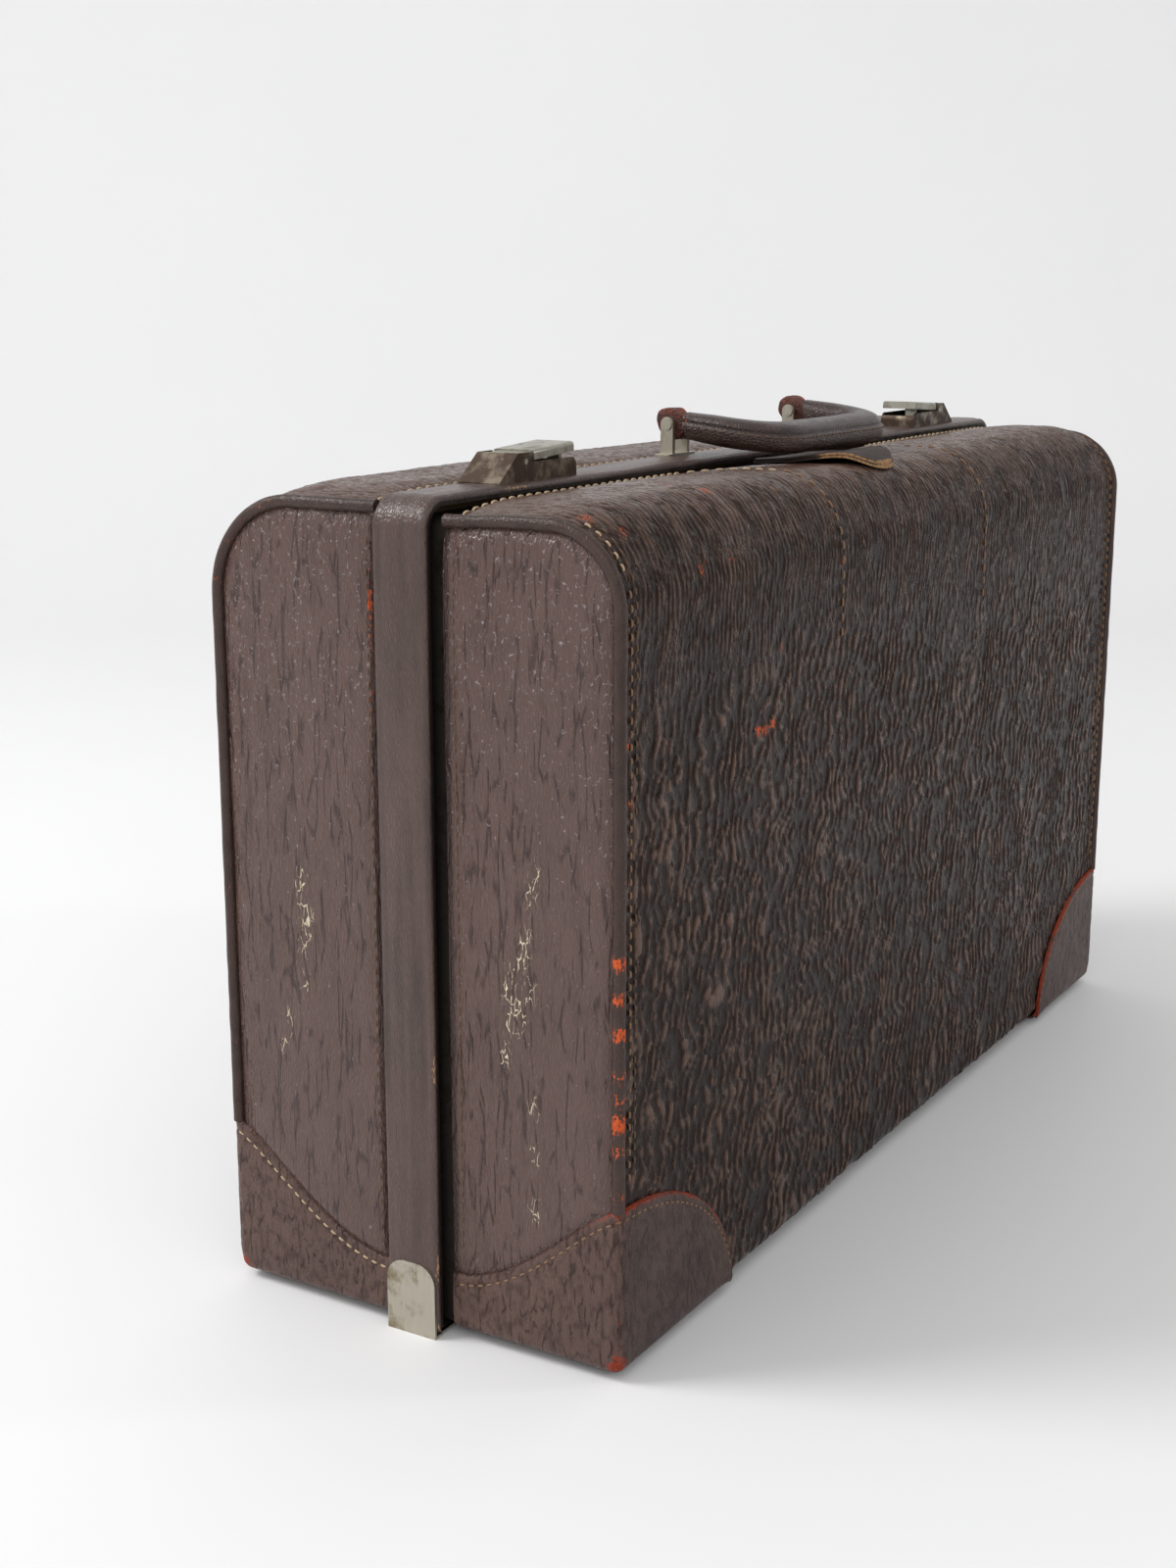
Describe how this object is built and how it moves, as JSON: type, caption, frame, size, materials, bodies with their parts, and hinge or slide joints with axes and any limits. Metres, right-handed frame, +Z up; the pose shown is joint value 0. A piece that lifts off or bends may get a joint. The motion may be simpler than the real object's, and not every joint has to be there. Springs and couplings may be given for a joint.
{
  "type": "leather suitcase",
  "caption": "Upright leather suitcase with a hinged front half, a leather-covered frame band, lever locks, a swinging leather handle, piped ends, corner patches and metal feet.",
  "frame": {"origin": "on the floor under the middle of the frame band, at the bottom centre of the object's box", "axes": "+X along the length, -Y towards the front half's face, +Z up from the hinged bottom edge to the handle"},
  "size_m": [0.6004, 0.1936, 0.3694],
  "materials": {
    "fibreboard": "matte pressed board",
    "lining_cloth": "woven cotton",
    "wadding": "cotton felt",
    "cover_leather": "heavy grained, semi-gloss",
    "end_leather": "finely wrinkled, semi-gloss",
    "piping_leather": "rubbed, semi-gloss",
    "patch_leather": "worn, semi-gloss",
    "band_leather": "smooth, semi-gloss",
    "handle_leather": "stitched, polished by use",
    "worn_leather": "cracked and rubbed",
    "frame_steel": "dull",
    "hinge_steel": "dull",
    "nickel": "worn satin nickel plate",
    "tarnished_nickel": "tarnished, speckled"
  },
  "bodies": {
    "back_half": {"back_board": "fibreboard", "back_end_board_left": "fibreboard", "back_end_board_right": "fibreboard", "back_lining": "lining_cloth", "back_padding": "wadding", "back_cover": "cover_leather", "back_gusset_left": "end_leather", "back_gusset_right": "end_leather", "back_piping_left": "piping_leather", "back_piping_right": "piping_leather", "back_corner_left": "patch_leather", "back_corner_right": "patch_leather", "outer_frame": "frame_steel", "frame_cover": "band_leather", "foot_left": "nickel", "foot_right": "nickel", "hinge_back_leaf_left": "hinge_steel", "hinge_back_leaf_right": "hinge_steel", "hinge_pin_left": "hinge_steel", "hinge_pin_right": "hinge_steel", "handle_bracket_left": "nickel", "handle_bracket_right": "nickel", "handle_pin_left": "nickel", "handle_pin_right": "nickel", "lock_case_left": "tarnished_nickel", "lock_case_right": "tarnished_nickel", "lever_pin_left": "hinge_steel", "lever_pin_right": "hinge_steel", "lock_spring_left": "hinge_steel", "lock_spring_right": "hinge_steel"},
    "front_half": {"front_board": "fibreboard", "front_end_board_left": "fibreboard", "front_end_board_right": "fibreboard", "front_lining": "lining_cloth", "front_padding": "wadding", "front_cover": "cover_leather", "front_gusset_left": "end_leather", "front_gusset_right": "end_leather", "front_piping_left": "piping_leather", "front_piping_right": "piping_leather", "front_corner_left": "patch_leather", "front_corner_right": "patch_leather", "inner_frame": "frame_steel", "hinge_front_leaf_left": "hinge_steel", "hinge_front_leaf_right": "hinge_steel", "lock_keeper_left": "hinge_steel", "lock_keeper_right": "hinge_steel", "pull_tab": "handle_leather"},
    "handle": {"handle_grip": "handle_leather", "handle_loop_left": "worn_leather", "handle_loop_right": "worn_leather"},
    "lever_left": {"lock_lever_left": "nickel"},
    "lever_right": {"lock_lever_right": "nickel"}
  },
  "joints": [
    {"name": "lid_hinge", "type": "hinge", "parent": "back_half", "child": "front_half", "pos_m": [0, -0.01475, 0.002], "axis": [1, 0, 0], "range_deg": [0, 175]},
    {"name": "handle_swing", "type": "hinge", "parent": "back_half", "child": "handle", "pos_m": [0, 0.008, 0.3619], "axis": [-1, 0, 0], "range_deg": [0, 190]},
    {"name": "lever_left_turn", "type": "hinge", "parent": "back_half", "child": "lever_left", "pos_m": [-0.223, 0, 0.3552], "axis": [0, -1, 0], "range_deg": [-3.3, 75]},
    {"name": "lever_right_turn", "type": "hinge", "parent": "back_half", "child": "lever_right", "pos_m": [0.223, 0, 0.3552], "axis": [0, 1, 0], "range_deg": [-3.3, 75]}
  ]
}
